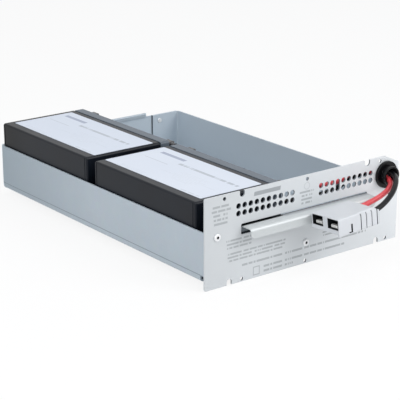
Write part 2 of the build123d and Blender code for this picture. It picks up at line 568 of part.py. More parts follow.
# Batteries: case, lid, vent strip, label and two blade terminals each
base_plane = Plane.YZ.offset(BATTERY_BASE_X)
pocket_width = TAB_FOOT_WIDTH + 2 * TAB_POCKET_CLEARANCE
pocket_height = TAB_FOOT_DEPTH + 2 * TAB_POCKET_CLEARANCE
pocket_floor_x = LID_FACE_X - TAB_POCKET_DEPTH
seam_length = BATTERY_LENGTH - 2 * SEAM_DEPTH
seam_thickness = BATTERY_THICKNESS - 2 * SEAM_DEPTH
for battery_name, battery_y, label_shift in (
    ("front_battery", FRONT_BATTERY_Y, FRONT_LABEL_SHIFT),
    ("rear_battery", REAR_BATTERY_Y, REAR_LABEL_SHIFT),
):
    middle = (battery_y + BATTERY_LENGTH / 2, BATTERY_MIDDLE_Z)
    terminal_ys = (battery_y + TAB_END_DISTANCE, battery_y + BATTERY_LENGTH - TAB_END_DISTANCE)

    with BuildPart() as battery_case:
        with BuildSketch(base_plane):
            with Locations(middle):
                RectangleRounded(BATTERY_LENGTH, BATTERY_THICKNESS, CASE_ROUND)
        extrude(amount=CASE_HEIGHT)
        fillet(faces().sort_by(Axis.X)[0].edges(), BASE_ROUND)
        with BuildSketch(base_plane.offset(CASE_HEIGHT)):
            with Locations(middle):
                RectangleRounded(seam_length, seam_thickness, CASE_ROUND)
        extrude(amount=SEAM_WIDTH)
        groove_spacing = BATTERY_LENGTH - 2 * BASE_GROOVE_INSET
        with BuildSketch(base_plane):
            with Locations(middle):
                with GridLocations(groove_spacing, 0, 2, 1):
                    Rectangle(BASE_GROOVE_WIDTH, BATTERY_THICKNESS)
        extrude(amount=BASE_GROOVE_DEPTH, mode=Mode.SUBTRACT)
    battery_case.part.label = battery_name + "_case"
    export_step(battery_case.part, "parts/" + battery_case.part.label + ".step")

    with BuildPart() as battery_lid:
        with BuildSketch(Plane.YZ.offset(LID_BACK_X)):
            with Locations(middle):
                RectangleRounded(BATTERY_LENGTH, BATTERY_THICKNESS, CASE_ROUND)
        extrude(amount=LID_HEIGHT)
        fillet(faces().sort_by(Axis.X)[-1].edges(), LID_ROUND)
        with BuildSketch(Plane.YZ.offset(LID_FACE_X)):
            with Locations(*((terminal_y, TAB_Z) for terminal_y in terminal_ys)):
                Rectangle(pocket_width, pocket_height)
        extrude(amount=-TAB_POCKET_DEPTH, mode=Mode.SUBTRACT)
        with BuildSketch(Plane.YZ.offset(LID_FACE_X)):
            with Locations(middle):
                RectangleRounded(
                    VENT_STRIP_LENGTH + 2 * VENT_STRIP_FIT,
                    VENT_STRIP_WIDTH + 2 * VENT_STRIP_FIT,
                    VENT_STRIP_CORNER,
                )
        extrude(amount=-VENT_STRIP_THICKNESS, mode=Mode.SUBTRACT)
    battery_lid.part.label = battery_name + "_lid"
    export_step(battery_lid.part, "parts/" + battery_lid.part.label + ".step")

    with BuildPart() as vent_strip:
        with BuildSketch(Plane.YZ.offset(LID_FACE_X - VENT_STRIP_THICKNESS)):
            with Locations(middle):
                RectangleRounded(VENT_STRIP_LENGTH, VENT_STRIP_WIDTH, VENT_STRIP_CORNER)
        extrude(amount=VENT_STRIP_THICKNESS)
    vent_strip.part.label = battery_name + "_vent_strip"
    export_step(vent_strip.part, "parts/" + vent_strip.part.label + ".step")

    with BuildPart() as label_sheet:
        with BuildSketch(Plane.XY.offset(BATTERY_TOP_Z)):
            with Locations((BATTERY_BASE_X + LABEL_BASE_MARGIN, battery_y + LABEL_END_MARGIN + label_shift)):
                RectangleRounded(LABEL_WIDTH, LABEL_LENGTH, LABEL_CORNER, align=(Align.MIN, Align.MIN))
        extrude(amount=LABEL_THICKNESS)
    label_sheet.part.label = battery_name + "_label"
    export_step(label_sheet.part, "parts/" + label_sheet.part.label + ".step")

    for pole_name, terminal_y in zip(("positive", "negative"), terminal_ys):
        with BuildPart() as tab:
            with BuildSketch(Plane.YZ.offset(pocket_floor_x)):
                with Locations((terminal_y, TAB_Z)):
                    Rectangle(TAB_FOOT_WIDTH, TAB_FOOT_DEPTH)
            extrude(amount=TAB_FOOT_THICKNESS)
            with BuildSketch(Plane.YZ.offset(pocket_floor_x)):
                with Locations((terminal_y, TAB_Z)):
                    Rectangle(TAB_WIDTH, TAB_THICKNESS)
            extrude(amount=TAB_POCKET_DEPTH + TAB_HEIGHT)
            chamfer(faces().sort_by(Axis.X)[-1].edges().filter_by(Axis.Z), TAB_TIP_CHAMFER)
        tab.part.label = battery_name + "_" + pole_name + "_tab"
        export_step(tab.part, "parts/" + tab.part.label + ".step")

# Push-on receptacles and their boots: one straight, three with the lead leaving sideways
front_positive_y = FRONT_BATTERY_Y + TAB_END_DISTANCE
front_negative_y = FRONT_BATTERY_Y + BATTERY_LENGTH - TAB_END_DISTANCE
rear_positive_y = REAR_BATTERY_Y + TAB_END_DISTANCE
rear_negative_y = REAR_BATTERY_Y + BATTERY_LENGTH - TAB_END_DISTANCE
barrel_x = LID_FACE_X + BARREL_DISTANCE
receptacle_plane = Plane.YZ.offset(LID_FACE_X + RECEPTACLE_STANDOFF)
receptacle_depth = RECEPTACLE_HEIGHT - RECEPTACLE_STANDOFF
boot_plane = Plane.YZ.offset(LID_FACE_X + BOOT_STANDOFF)
cavity_depth = RECEPTACLE_HEIGHT + BOOT_FIT - BOOT_STANDOFF
for terminal_name, terminal_y, heading in (
    ("front_battery_positive", front_positive_y, 0),
    ("front_battery_negative", front_negative_y, 1),
    ("rear_battery_positive", rear_positive_y, -1),
    ("rear_battery_negative", rear_negative_y, -1),
):
    if heading == 0:
        barrel_plane = Plane.YZ.offset(LID_FACE_X + RECEPTACLE_HEIGHT)
        barrel_centre = (terminal_y, TAB_Z)
        barrel_length = STRAIGHT_BOOT_REACH - RECEPTACLE_HEIGHT
        sleeve_length = STRAIGHT_BOOT_REACH - BOOT_HEIGHT
        sleeve_plane = Plane.YZ.offset(LID_FACE_X + BOOT_HEIGHT - SLEEVE_SEAT)
    else:
        barrel_plane = Plane(origin=(0, terminal_y, 0), x_dir=(1, 0, 0), z_dir=(0, heading, 0))
        barrel_centre = (barrel_x, -heading * TAB_Z)
        barrel_length = FLAG_BOOT_REACH
        sleeve_length = FLAG_BOOT_REACH - BOOT_WIDTH / 2
        sleeve_plane = barrel_plane.offset(BOOT_WIDTH / 2 - SLEEVE_SEAT)

    with BuildPart() as receptacle:
        with BuildSketch(receptacle_plane):
            with Locations((terminal_y, TAB_Z)):
                Rectangle(RECEPTACLE_WIDTH, RECEPTACLE_THICKNESS)
        extrude(amount=receptacle_depth)
        with BuildSketch(barrel_plane):
            with Locations(barrel_centre):
                Circle(BARREL_DIAMETER / 2)
        extrude(amount=barrel_length)
        with BuildSketch(receptacle_plane):
            with Locations((terminal_y, TAB_Z)):
                Rectangle(TAB_WIDTH + 2 * TAB_FIT, TAB_THICKNESS + 2 * TAB_FIT)
        extrude(amount=TAB_HEIGHT - RECEPTACLE_STANDOFF + TAB_FIT, mode=Mode.SUBTRACT)
    receptacle.part.label = terminal_name + "_receptacle"
    export_step(receptacle.part, "parts/" + receptacle.part.label + ".step")

    with BuildPart() as boot:
        with BuildSketch(boot_plane):
            with Locations((terminal_y, TAB_Z)):
                Rectangle(BOOT_WIDTH, BOOT_THICKNESS)
        extrude(amount=BOOT_HEIGHT - BOOT_STANDOFF)
        fillet(edges().filter_by(Axis.X), BOOT_ROUND)
        fillet(faces().sort_by(Axis.X)[-1].edges(), SLEEVE_ROUND)
        with BuildSketch(sleeve_plane):
            with Locations(barrel_centre):
                Circle(BOOT_SLEEVE_DIAMETER / 2 - SLEEVE_ROUND / 2)
        extrude(amount=sleeve_length + SLEEVE_SEAT)
        with BuildSketch(boot_plane):
            with Locations((terminal_y, TAB_Z)):
                Rectangle(RECEPTACLE_WIDTH + 2 * BOOT_FIT, RECEPTACLE_THICKNESS + 2 * BOOT_FIT)
        extrude(amount=cavity_depth, mode=Mode.SUBTRACT)
        with BuildSketch(barrel_plane):
            with Locations(barrel_centre):
                Circle(BARREL_DIAMETER / 2 + BOOT_FIT / 2)
        extrude(amount=barrel_length, mode=Mode.SUBTRACT)
    boot.part.label = terminal_name + "_boot"
    export_step(boot.part, "parts/" + boot.part.label + ".step")

# Connector housing: two side-by-side poles, hollow from the mating face and from the rear
roll = radians(CONNECTOR_ROLL)
pitch = radians(CONNECTOR_PITCH)
connector_plane = Plane(
    origin=(CONNECTOR_FACE_X, LIP_FRONT_Y - CONNECTOR_GAP, HANDLE_TOP + CONNECTOR_RISE),
    x_dir=(cos(pitch), 0, sin(pitch)),
    z_dir=(-sin(pitch) * cos(roll), sin(roll), cos(pitch) * cos(roll)),
)
long_axis = Axis(connector_plane.origin, connector_plane.x_dir)
cross_axis = Axis(connector_plane.origin, connector_plane.y_dir)
mating_plane = Plane(origin=connector_plane.origin, x_dir=connector_plane.y_dir, z_dir=connector_plane.x_dir)
side_plane = Plane(origin=connector_plane.origin, x_dir=connector_plane.x_dir, z_dir=-connector_plane.y_dir)
keel_height = CONNECTOR_THICKNESS - KEEL_TOP
slope_tops = ((0, -GRIP_SLOPE_WIDTH), (-CONNECTOR_WIDTH, GRIP_SLOPE_WIDTH - CONNECTOR_WIDTH))
pole_offsets = [(CONNECTOR_WIDTH - POLE_SPACING) / 2, (CONNECTOR_WIDTH + POLE_SPACING) / 2]
with BuildPart() as connector_housing:
    with BuildSketch(connector_plane):
        with Locations((CONNECTOR_LENGTH / 2, -CONNECTOR_WIDTH / 2)):
            Rectangle(CONNECTOR_LENGTH, CONNECTOR_WIDTH)
    extrude(amount=-CONNECTOR_THICKNESS)
    fillet(edges().filter_by(long_axis), CONNECTOR_EDGE)
    with BuildSketch(mating_plane):
        for pole in pole_offsets:
            with Locations((-pole, -MOUTH_TOP_WALL - MOUTH_HEIGHT / 2)):
                Rectangle(MOUTH_WIDTH, MOUTH_HEIGHT)
    extrude(amount=MOUTH_DEPTH, mode=Mode.SUBTRACT)
    with BuildSketch(mating_plane):
        with Locations((-(CONNECTOR_WIDTH - KEEL_WALL) / 2, -KEEL_TOP - keel_height / 2)):
            Rectangle(CONNECTOR_WIDTH - KEEL_WALL, keel_height)
    extrude(amount=KEEL_SETBACK, mode=Mode.SUBTRACT)
    with BuildSketch(mating_plane.offset(MOUTH_DEPTH)):
        for pole in pole_offsets:
            with Locations((-pole, -POLE_DEPTH)):
                Circle(REAR_BORE_DIAMETER / 2)
    extrude(amount=CONNECTOR_LENGTH - MOUTH_DEPTH, mode=Mode.SUBTRACT)
    for groove_x in GRIP_GROOVES:
        with BuildSketch(mating_plane.offset(groove_x)):
            with Locations((-CONNECTOR_WIDTH / 2, -CONNECTOR_THICKNESS / 2)):
                Rectangle(CONNECTOR_WIDTH, CONNECTOR_THICKNESS)
                Rectangle(CONNECTOR_WIDTH - 2 * GRIP_GROOVE_DEPTH, CONNECTOR_THICKNESS, mode=Mode.SUBTRACT)
        extrude(amount=GRIP_GROOVE_WIDTH, mode=Mode.SUBTRACT)
    with BuildSketch(mating_plane.offset(GRIP_SLOPE_START)):
        for edge_x, inner_x in slope_tops:
            with BuildLine():
                Polyline((edge_x, 0), (inner_x, 0), (edge_x, -GRIP_SLOPE_DROP), close=True)
            make_face()
    extrude(amount=CONNECTOR_LENGTH - GRIP_SLOPE_START, mode=Mode.SUBTRACT)
    with BuildSketch(side_plane.offset(CONNECTOR_WIDTH)):
        with Locations((LATCH_NOTCH_START, LATCH_NOTCH_RISE - CONNECTOR_THICKNESS)):
            Rectangle(LATCH_NOTCH_WIDTH, LATCH_NOTCH_HEIGHT, align=(Align.MIN, Align.MIN))
            Rectangle(LATCH_FOOT_LENGTH, LATCH_FOOT_HEIGHT, align=(Align.MAX, Align.MIN))
    extrude(amount=-LATCH_NOTCH_DEPTH, mode=Mode.SUBTRACT)
    with BuildSketch(side_plane):
        with BuildLine():
            Polyline(
                (CONNECTOR_LENGTH - REAR_SLOPE_LENGTH, 0),
                (CONNECTOR_LENGTH, 0),
                (CONNECTOR_LENGTH, -REAR_SLOPE_DROP),
                close=True,
            )
        make_face()
    extrude(amount=CONNECTOR_WIDTH, mode=Mode.SUBTRACT)
connector_housing.part.label = "connector_housing"
export_step(connector_housing.part, "parts/connector_housing.step")

# Contacts and their leaf springs, one of each to a pole
mouth_floor = -MOUTH_TOP_WALL - MOUTH_HEIGHT
for pole_name, pole in zip(("red", "black"), pole_offsets):
    with BuildPart() as contact:
        with BuildSketch(connector_plane.offset(-CONTACT_TOP_DEPTH)):
            with Locations((CONTACT_TIP, -pole)):
                Rectangle(CONTACT_BARREL_START - CONTACT_TIP, CONTACT_WIDTH, align=(Align.MIN, Align.CENTER))
        extrude(amount=-CONTACT_THICKNESS)
        with BuildSketch(connector_plane.offset(-CONTACT_TOP_DEPTH)):
            with Locations((CONTACT_TIP, -pole)):
                Rectangle(CONTACT_HOOK_LENGTH, CONTACT_WIDTH, align=(Align.MIN, Align.CENTER))
        extrude(amount=-CONTACT_THICKNESS - CONTACT_HOOK_DEPTH)
        fillet(edges().filter_by(cross_axis).sort_by(long_axis)[:2], CONTACT_TIP_ROUND)
        with BuildSketch(mating_plane.offset(CONTACT_BARREL_START)):
            with Locations((-pole, -POLE_DEPTH)):
                Circle(REAR_BORE_DIAMETER / 2 - CONTACT_FIT)
        extrude(amount=CONTACT_BARREL_LENGTH)
    contact.part.label = pole_name + "_contact"
    export_step(contact.part, "parts/" + contact.part.label + ".step")

    with BuildPart() as spring:
        leaf_floor = mouth_floor + SPRING_FLOOR_GAP
        with BuildSketch(side_plane.offset(pole - SPRING_WIDTH / 2)):
            with BuildLine():
                FilletPolyline(
                    (SPRING_START, leaf_floor),
                    (SPRING_CREST, leaf_floor + SPRING_LIFT),
                    (SPRING_END, leaf_floor),
                    radius=SPRING_RADIUS,
                )
                offset(amount=SPRING_THICKNESS, side=Side.LEFT)
            make_face()
        extrude(amount=SPRING_WIDTH)
    spring.part.label = pole_name + "_contact_spring"
    export_step(spring.part, "parts/" + spring.part.label + ".step")


def corner_radii(points):
    """Largest tangent arc at each inner point of a route."""
    corners = [Vector(*point) for point in points]
    radii = []
    for before, corner, after in zip(corners, corners[1:], corners[2:]):
        turn = radians((corner - before).get_angle(after - corner))
        shorter = min((corner - before).length, (after - corner).length)
        radii.append(RUN_SHARE * shorter / tan(turn / 2))
    return radii


# Leads: round, of one section from end to end
for lead_name, route in (("red_lead", RED_ROUTE), ("black_lead", BLACK_ROUTE)):
    points = [(x, y + PANEL_FRONT_Y, z) for x, y, z in route]
    with BuildPart() as lead:
        with BuildLine() as lead_line:
            FilletPolyline(*points, radius=corner_radii(points))
        with BuildSketch(Plane(origin=lead_line.line @ 0, z_dir=lead_line.line % 0)):
            Circle(LEAD_DIAMETER / 2)
        sweep()
    lead.part.label = lead_name
    export_step(lead.part, "parts/" + lead_name + ".step")

jumper_start = front_negative_y + FLAG_BOOT_REACH
jumper_end = rear_positive_y - FLAG_BOOT_REACH
with BuildPart() as jumper_lead:
    with BuildSketch(front_plane(jumper_end)):
        with Locations((barrel_x, TAB_Z)):
            Circle(LEAD_DIAMETER / 2)
    extrude(amount=jumper_end - jumper_start)
jumper_lead.part.label = "jumper_lead"
export_step(jumper_lead.part, "parts/jumper_lead.step")
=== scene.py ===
import bpy
import json
from math import cos, pi, radians, sin
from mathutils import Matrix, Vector

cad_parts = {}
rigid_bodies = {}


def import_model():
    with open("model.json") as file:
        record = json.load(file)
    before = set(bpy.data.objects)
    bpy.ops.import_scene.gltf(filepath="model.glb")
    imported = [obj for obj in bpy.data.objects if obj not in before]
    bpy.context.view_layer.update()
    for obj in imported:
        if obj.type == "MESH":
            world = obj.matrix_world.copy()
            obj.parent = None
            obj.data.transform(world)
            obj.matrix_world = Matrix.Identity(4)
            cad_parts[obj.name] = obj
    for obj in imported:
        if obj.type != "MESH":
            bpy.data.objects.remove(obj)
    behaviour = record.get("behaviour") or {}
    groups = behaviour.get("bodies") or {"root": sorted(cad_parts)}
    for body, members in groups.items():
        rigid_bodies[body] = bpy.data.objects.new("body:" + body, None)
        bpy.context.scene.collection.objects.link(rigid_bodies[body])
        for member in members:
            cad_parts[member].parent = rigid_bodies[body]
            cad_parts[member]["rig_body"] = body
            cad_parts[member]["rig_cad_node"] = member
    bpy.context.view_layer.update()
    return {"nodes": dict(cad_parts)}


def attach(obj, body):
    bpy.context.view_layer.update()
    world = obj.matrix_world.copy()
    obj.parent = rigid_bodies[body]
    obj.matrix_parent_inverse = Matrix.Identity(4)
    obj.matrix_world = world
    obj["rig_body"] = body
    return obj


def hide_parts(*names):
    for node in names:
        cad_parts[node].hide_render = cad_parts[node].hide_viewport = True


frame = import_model()
MM = 0.001
AMBIENT = 0.52
FLOOR_GLOW = 0.85


# Shader maths: sockets that take Python operators

class Socket:
    """One output of a node. Operators on it add Math nodes to its finish."""

    def __init__(self, finish, output):
        self.finish = finish
        self.output = output

    def maths(self, operation, *values):
        return self.finish.node("ShaderNodeMath", {"operation": operation}, dict(enumerate(values)))

    def __add__(self, other):
        return self.maths("ADD", self, other)

    __radd__ = __add__

    def __sub__(self, other):
        return self.maths("SUBTRACT", self, other)

    def __rsub__(self, other):
        return self.maths("SUBTRACT", other, self)

    def __mul__(self, other):
        return self.maths("MULTIPLY", self, other)

    def __truediv__(self, other):
        return self.maths("DIVIDE", self, other)

    def __gt__(self, other):
        return self.maths("GREATER_THAN", self, other)

    def __lt__(self, other):
        return self.maths("LESS_THAN", self, other)

    def floor(self):
        return self.maths("FLOOR", self)

    def fraction(self):
        return self.maths("FRACT", self)

    def size(self):
        return self.maths("ABSOLUTE", self)

    def root(self):
        return self.maths("SQRT", self)

    def or_more(self, other):
        return self.maths("MAXIMUM", self, other)

    def between(self, low, high):
        return (self > low) * (self < high)


class Finish:
    """A procedural material, with its Principled surface ready to be linked."""

    def __init__(self, name, colour, roughness, metallic=0.0, coat=0.0):
        self.material = bpy.data.materials.new(name)
        self.material.use_nodes = True
        self.tree = self.material.node_tree
        self.surface = self.tree.nodes["Principled BSDF"]
        self.set("Base Color", (*colour, 1.0))
        self.set("Roughness", roughness)
        self.set("Metallic", metallic)
        self.set("Coat Weight", coat)
        self.set("Coat Roughness", 0.25)

    def set(self, socket, value):
        """Gives a surface socket a value or a link."""
        if isinstance(value, Socket):
            self.tree.links.new(value.output, self.surface.inputs[socket])
        else:
            self.surface.inputs[socket].default_value = value

    def node(self, kind, settings=None, inputs=None, output=0):
        """Adds a node, with its settings first and then its sockets' values or links."""
        node = self.tree.nodes.new(kind)
        for setting, value in (settings or {}).items():
            setattr(node, setting, value)
        for socket, value in (inputs or {}).items():
            if isinstance(value, Socket):
                self.tree.links.new(value.output, node.inputs[socket])
            else:
                node.inputs[socket].default_value = value
        return Socket(self, node.outputs[output])

    def place(self):
        """The piece's own coordinates, which are the object's frame in metres."""
        return self.node("ShaderNodeTexCoord", output="Object")

    def axes(self):
        """The place's X, Y and Z, in millimetres."""
        place = self.place()
        parts = [self.node("ShaderNodeSeparateXYZ", None, {0: place}, output) for output in range(3)]
        return [part * (1 / MM) for part in parts]

    def stretched(self, scale):
        """The place with each axis scaled by its own factor."""
        return self.node("ShaderNodeMapping", None, {"Vector": self.place(), "Scale": scale})

    def noise(self, scale, detail=2.0, vector=None):
        """Cloudy noise around 0.5."""
        inputs = {"Vector": vector or self.place(), "Scale": scale, "Detail": detail}
        return self.node("ShaderNodeTexNoise", None, inputs)

    def chance(self, number):
        """A steady random value from 0 to 1 for each number."""
        return self.node("ShaderNodeTexWhiteNoise", {"noise_dimensions": "1D"}, {"W": number})

    def mix(self, first, second, factor):
        """A colour that goes from first to second."""
        inputs = {0: factor, 6: first, 7: second}
        for index, colour in ((6, first), (7, second)):
            if not isinstance(colour, Socket):
                inputs[index] = (*colour, 1.0)
        return self.node("ShaderNodeMix", {"data_type": "RGBA"}, inputs, 2)

    def bump(self, height, strength, distance):
        """Roughens the surface by a height."""
        inputs = {"Height": height, "Strength": strength, "Distance": distance}
        self.set("Normal", self.node("ShaderNodeBump", None, inputs))


def linear(red, green, blue):
    """A colour given as screen values from 0 to 255, made linear."""
    values = []
    for screen in (red, green, blue):
        share = screen / 255
        values.append(share / 12.92 if share <= 0.04045 else ((share + 0.055) / 1.055) ** 2.4)
    return tuple(values)


# Finishes. Places are in millimetres in the object's frame: X across, Y to the rear, Z up

PANEL_FACE = -160.7
OUTER_SIDE = 109.6
INNER_SIDE = 109.3
FLOOR_TOP = 7.7
HEM_FOOT = 50.9
HANDLE_TOP = 49.6
SHADED_SLOT_END = -27.0
SIDE_RIVETS = (97.95, 45.4)
CENTRE_RIVET = (0.0, 19.5)
PIN_RADIUS_SQUARED = 1.6
BATTERY_STEP = 163.3
REAR_BATTERY_END = 169.9
SHADED_CASE_START = 118.0

# Print on the panel: ends, height of the lowest row, pitch, count, height and raggedness of the rows
PANEL_ROWS = (
    ((-105.0, -83.0), 56.6, 3.7, 5, 1.9, 4.0),
    ((-8.0, 8.6), 56.0, 3.3, 4, 1.7, 2.4),
    ((-92.0, -56.0), 32.8, 3.2, 3, 1.6, 5.0),
    ((-92.0, -18.0), 21.2, 3.05, 3, 1.6, 6.0),
    ((14.5, 92.0), 21.4, 2.8, 3, 1.4, 6.0),
    ((-71.0, 73.0), 14.7, 20.0, 1, 1.9, 0.0),
    ((-47.0, 46.5), 8.3, 20.0, 1, 1.9, 0.0),
    ((-47.0, -14.0), 4.1, 20.0, 1, 1.9, 0.0),
)
RING_PLACE = (0.4, 71.0)
RING_RADII = (2.6, 3.4)

# Connector: corner and tilt, and the spans of its openings along, across and down into it
CONNECTOR_CORNER = (-5.6, -173.5, 51.6)
CONNECTOR_ROLL = 3.8
CONNECTOR_PITCH = 3.6
MOUTHS_ACROSS = ((0.9, 14.6), (19.9, 33.6))
MOUTH_ALONG = (0.25, 21.0)
MOUTH_DOWN = (0.7, 10.2)
NOTCH_ALONG = (13.6, 15.4)
NOTCH_DOWN = (7.1, 14.7)
NOTCH_FOOT_ALONG = (11.3, 13.7)
NOTCH_FOOT_DOWN = (13.7, 14.7)
NOTCH_FLOOR = 32.4
FIRST_GROOVE = 24.8
GROOVE_PITCH = 6.27
GROOVE_SHARE = 0.16
GROOVE_ACROSS = (33.5, 34.35)
LIT_SIDE_FROM = 33.7
BRIGHT_TIP = 4.4


def rows_of_print(finish, along, up, ends, lowest, pitch, rows, height, ragged=0.0):
    """Lines of small print as word-long dashes: no letters, only bars and gaps."""
    line = (up - (lowest - height / 2)) / pitch
    number = line.floor()
    inside = (line.fraction() < height / pitch) * line.between(0, rows)
    cut = finish.chance(number + 0.5) * ragged
    left, right = ends
    inside = inside * (along > cut + left) * (along < right - cut)
    return inside * (finish.chance((along / 1.1).floor() + number * 31) > 0.13)


def bar(along, up, ends, heights):
    return along.between(*ends) * up.between(*heights)


def square_distance(along, up, place):
    """Square of the distance from a place on a face."""
    return (along - place[0]) * (along - place[0]) + (up - place[1]) * (up - place[1])


def zinc_sheet():
    finish = Finish("zinc_sheet", linear(172, 183, 192), 0.42, metallic=0.2)
    x, y, z = finish.axes()
    grain = finish.noise(1.0, 3.0, finish.stretched((900, 900, 900)))
    cloud = finish.noise(28.0, 3.0)
    cells = {"Vector": finish.place(), "Scale": 160.0}
    spangle = finish.node("ShaderNodeTexVoronoi", {"feature": "F1"}, cells, 1)
    tone = cloud * 0.55 + grain * 0.45
    sheet = finish.mix(linear(164, 176, 186), linear(181, 191, 199), tone)
    sheet = finish.mix(sheet, spangle, 0.012)
    side = x.size() > OUTER_SIDE
    # painted light: the tray's inner faces are made lighter than the same sheet outside
    inside = (x.size() < INNER_SIDE) * z.between(FLOOR_TOP, HEM_FOOT)
    # painted shade: the outer sides darken towards the rear
    shaded_far_side = side * (y * 0.004).or_more(0.0)
    # painted shade: dark lines along the outer sides at the bend and at the lower edge
    fold_shade_line = side * z.between(12.3, 13.0)
    lower_edge_shade = side * (z < 7.1)
    # painted shade: a dark line at the end of the rear flange, where its edge is in shadow
    flange_edge_shade = x.size().between(74.4, 75.5) * (y > 164.0) * (z > 12.0)
    sheet = finish.mix(sheet, linear(196, 207, 216), inside * 0.9)
    sheet = finish.mix(sheet, linear(132, 146, 156), shaded_far_side)
    sheet = finish.mix(sheet, linear(104, 115, 124), fold_shade_line.or_more(lower_edge_shade) * 0.8)
    sheet = finish.mix(sheet, linear(92, 100, 108), flange_edge_shade * 0.9)
    finish.set("Base Color", sheet)
    finish.set("Roughness", 0.36 + cloud * 0.14)
    finish.bump(grain, 0.1, 0.0001)
    return finish.material


def panel_paint():
    finish = Finish("panel_paint", linear(210, 214, 217), 0.45, metallic=0.1)
    x, y, z = finish.axes()
    grain = finish.noise(1.0, 2.0, finish.stretched((260, 260, 1500)))
    cloud = finish.noise(22.0, 2.0)
    # painted light: the panel's paint lightens from left to right
    paint = finish.mix(linear(193, 197, 200), linear(224, 228, 231), x * 0.0045 + 0.5)
    paint = finish.mix(paint, linear(226, 229, 231), grain * 0.12 + cloud * 0.12)
    front = y < PANEL_FACE + 0.1
    words = 0.0
    for rows in PANEL_ROWS:
        words = rows_of_print(finish, x, z, *rows).or_more(words)
    badge = bar(x + z * -0.2, z, (-73.6, -44.6), (73.4, 77.0))
    box = bar(x, z, (-58.8, -51.4), (2.2, 10.2)) * (1.0 - bar(x, z, (-57.9, -52.3), (3.1, 9.3)))
    ring = square_distance(x, z, RING_PLACE).root().between(*RING_RADII)
    ink = (words * 0.62).or_more(badge * 0.8).or_more(box * 0.6).or_more(ring * 0.28)
    paint = finish.mix(paint, linear(142, 147, 151), ink * front)
    # painted shade on the walls of the holes and notches, inside the sheet's thickness
    cut = y.between(PANEL_FACE + 0.22, PANEL_FACE + 1.3) * (x.size() < 110.3) * z.between(0.5, 80.3)
    paint = finish.mix(paint, linear(112, 118, 124), cut)
    paint = finish.mix(paint, linear(170, 180, 188), y > PANEL_FACE + 1.35)
    finish.set("Base Color", paint)
    finish.set("Roughness", 0.4 + grain * 0.14)
    finish.bump(grain, 0.04, 0.0001)
    return finish.material


def handle_paint():
    finish = Finish("handle_paint", linear(206, 210, 212), 0.35, metallic=0.2)
    x, y, z = finish.axes()
    grain = finish.noise(1.0, 2.0, finish.stretched((300, 1400, 1400)))
    inner = y > PANEL_FACE + 0.2
    top = z > HANDLE_TOP
    # painted shade: the plate's top darkens towards the slot
    near_slot_shade = ((y - PANEL_FACE) * 0.2 + 1.15).or_more(0.0) * top
    # painted shadow: near-black on the plate's top along the left part of the slot
    slot_shadow = (y > PANEL_FACE - 1.8) * (x < SHADED_SLOT_END) * top
    paint = finish.mix(linear(188, 193, 195), linear(203, 207, 208), grain)
    paint = finish.mix(paint, linear(132, 138, 146), near_slot_shade * (x > SHADED_SLOT_END) * 0.8)
    paint = finish.mix(paint, linear(96, 102, 108), inner)
    finish.set("Base Color", finish.mix(paint, linear(14, 15, 17), slot_shadow))
    finish.set("Metallic", 0.2 + inner * 0.7)
    finish.set("Roughness", 0.32 + grain * 0.12 - inner * 0.12)
    return finish.material


def rivet_metal():
    finish = Finish("rivet_metal", linear(228, 230, 232), 0.3, metallic=0.35)
    x, y, z = finish.axes()
    grain = finish.noise(900.0, 2.0)
    side = square_distance(x.size(), z, SIDE_RIVETS) < PIN_RADIUS_SQUARED
    centre = square_distance(x, z, CENTRE_RIVET) < PIN_RADIUS_SQUARED
    # painted shade: a dark disc at each rivet's centre stands for the shaded pin hole
    pin_hole_shade = side.or_more(centre) * (y < 0.0)
    dome = finish.mix(linear(222, 224, 226), linear(242, 243, 244), grain)
    finish.set("Base Color", finish.mix(dome, linear(34, 36, 40), pin_hole_shade))
    finish.set("Roughness", 0.24 + grain * 0.18)
    return finish.material


def case_plastic():
    finish = Finish("case_plastic", linear(22, 23, 27), 0.38)
    finish.set("Specular IOR Level", 0.2)
    grain = finish.noise(1700.0, 2.0)
    cloud = finish.noise(40.0, 3.0)
    y = finish.axes()[1]
    # painted shade: the case darkens towards the rear
    far_end_shade = ((y - SHADED_CASE_START) * 0.025).or_more(0.0)
    shell = finish.mix(linear(10, 13, 20), linear(21, 27, 36), cloud)
    finish.set("Base Color", finish.mix(shell, linear(5, 7, 12), far_end_shade))
    finish.set("Roughness", 0.28 + cloud * 0.12 + grain * 0.06)
    finish.bump(grain, 0.25, 0.00006)
    return finish.material


def lid_plastic():
    finish = Finish("lid_plastic", linear(80, 81, 83), 0.42)
    grain = finish.noise(1500.0, 2.0)
    cloud = finish.noise(55.0, 3.0)
    finish.set("Base Color", finish.mix(linear(76, 86, 97), linear(94, 104, 115), cloud))
    finish.set("Roughness", 0.38 + grain * 0.12)
    finish.bump(grain, 0.25, 0.00006)
    return finish.material


